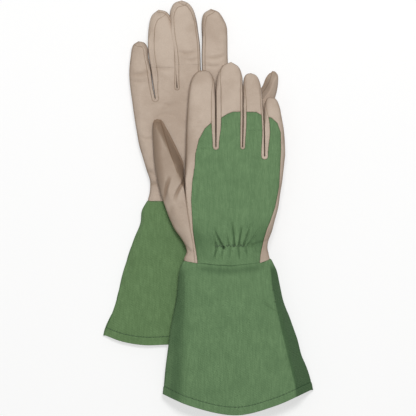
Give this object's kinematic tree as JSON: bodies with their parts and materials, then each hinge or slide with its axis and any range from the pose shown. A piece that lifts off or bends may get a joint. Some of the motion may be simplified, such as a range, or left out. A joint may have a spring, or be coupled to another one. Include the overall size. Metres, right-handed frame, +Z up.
{
  "type": "gardening gloves",
  "caption": "Long-cuffed gardening gloves laid flat, leather hands with cloth backs and flared cloth gauntlets; fingers, thumb and cuff fold.",
  "frame": {"origin": "middle of the pair's bounding box, on the surface that the gloves lie on", "axes": "+Z up from the surface, +Y from the cuffs to the fingertips, +X to the side where the upper glove lies"},
  "size_m": [0.2138, 0.4358, 0.0366],
  "materials": {
    "goatskin": "soft matt goatskin, undyed tan",
    "green_twill": "matt green cotton twill",
    "elastic": "woven elastic tape"
  },
  "bodies": {
    "lower_glove": {"lower_slit_index_middle": "goatskin", "lower_slit_middle_ring": "goatskin", "lower_slit_ring_little": "goatskin", "lower_back": "green_twill", "lower_palm": "goatskin", "lower_elastic": "elastic", "lower_thumb_front": "goatskin", "lower_thumb_back": "goatskin", "lower_cuff_back": "green_twill", "lower_cuff_front": "green_twill", "lower_cuff_hem": "green_twill"},
    "lower_index": {"lower_index_front": "goatskin", "lower_index_back": "goatskin", "lower_index_outer_side": "goatskin"},
    "lower_middle": {"lower_middle_front": "goatskin", "lower_middle_back": "goatskin", "lower_middle_thumb_side": "goatskin", "lower_middle_outer_side": "goatskin"},
    "lower_ring": {"lower_ring_front": "goatskin", "lower_ring_back": "goatskin", "lower_ring_thumb_side": "goatskin", "lower_ring_outer_side": "goatskin"},
    "lower_little": {"lower_little_front": "goatskin", "lower_little_back": "goatskin", "lower_little_thumb_side": "goatskin"},
    "upper_hand": {"upper_slit_index_middle": "goatskin", "upper_slit_middle_ring": "goatskin", "upper_slit_ring_little": "goatskin", "upper_back": "green_twill", "upper_palm": "goatskin", "upper_elastic": "elastic"},
    "upper_index": {"upper_index_front": "goatskin", "upper_index_back": "goatskin", "upper_index_outer_side": "goatskin"},
    "upper_middle": {"upper_middle_front": "goatskin", "upper_middle_back": "goatskin", "upper_middle_thumb_side": "goatskin", "upper_middle_outer_side": "goatskin"},
    "upper_ring": {"upper_ring_front": "goatskin", "upper_ring_back": "goatskin", "upper_ring_thumb_side": "goatskin", "upper_ring_outer_side": "goatskin"},
    "upper_little": {"upper_little_front": "goatskin", "upper_little_back": "goatskin", "upper_little_thumb_side": "goatskin"},
    "upper_thumb": {"upper_thumb_front": "goatskin", "upper_thumb_back": "goatskin"},
    "upper_cuff": {"upper_cuff_back": "green_twill", "upper_cuff_front": "green_twill", "upper_cuff_hem": "green_twill"}
  },
  "joints": [
    {"name": "lower_index_fold", "type": "hinge", "parent": "lower_glove", "child": "lower_index", "pos_m": [0.00685, 0.1574, 0.018], "axis": [0.9984, 0.0558, 0], "range_deg": [0, 75]},
    {"name": "lower_middle_fold", "type": "hinge", "parent": "lower_glove", "child": "lower_middle", "pos_m": [-0.02134, 0.1584, 0.018], "axis": [0.9952, 0.0976, 0], "range_deg": [0, 75]},
    {"name": "lower_ring_fold", "type": "hinge", "parent": "lower_glove", "child": "lower_ring", "pos_m": [-0.04734, 0.1554, 0.018], "axis": [0.9956, 0.0941, 0], "range_deg": [0, 75]},
    {"name": "lower_little_fold", "type": "hinge", "parent": "lower_glove", "child": "lower_little", "pos_m": [-0.07043, 0.14041, 0.018], "axis": [0.9962, 0.0872, 0], "range_deg": [0, 75]},
    {"name": "upper_lift", "type": "slide", "parent": "lower_glove", "child": "upper_hand", "axis": [0, 0, 1], "range_m": [0, 0.12]},
    {"name": "upper_index_fold", "type": "hinge", "parent": "upper_hand", "child": "upper_index", "pos_m": [-0.00619, 0.09341, 0.0366], "axis": [0.9994, -0.0349, 0], "range_deg": [0, 60]},
    {"name": "upper_middle_fold", "type": "hinge", "parent": "upper_hand", "child": "upper_middle", "pos_m": [0.02279, 0.09641, 0.0366], "axis": [0.9998, -0.0209, 0], "range_deg": [0, 60]},
    {"name": "upper_ring_fold", "type": "hinge", "parent": "upper_hand", "child": "upper_ring", "pos_m": [0.04712, 0.0894, 0.0366], "axis": [0.9997, 0.0262, 0], "range_deg": [0, 60]},
    {"name": "upper_little_fold", "type": "hinge", "parent": "upper_hand", "child": "upper_little", "pos_m": [0.06938, 0.07591, 0.0366], "axis": [0.9994, 0.0349, 0], "range_deg": [0, 60]},
    {"name": "upper_thumb_fold", "type": "hinge", "parent": "upper_hand", "child": "upper_thumb", "pos_m": [-0.0129, -0.0526, 0.0366], "axis": [-0.118, 0.993, 0], "range_deg": [0, 55]},
    {"name": "upper_cuff_fold", "type": "hinge", "parent": "upper_hand", "child": "upper_cuff", "pos_m": [0.0196, -0.05659, 0.0366], "axis": [-1, 0, 0], "range_deg": [0, 60]}
  ]
}
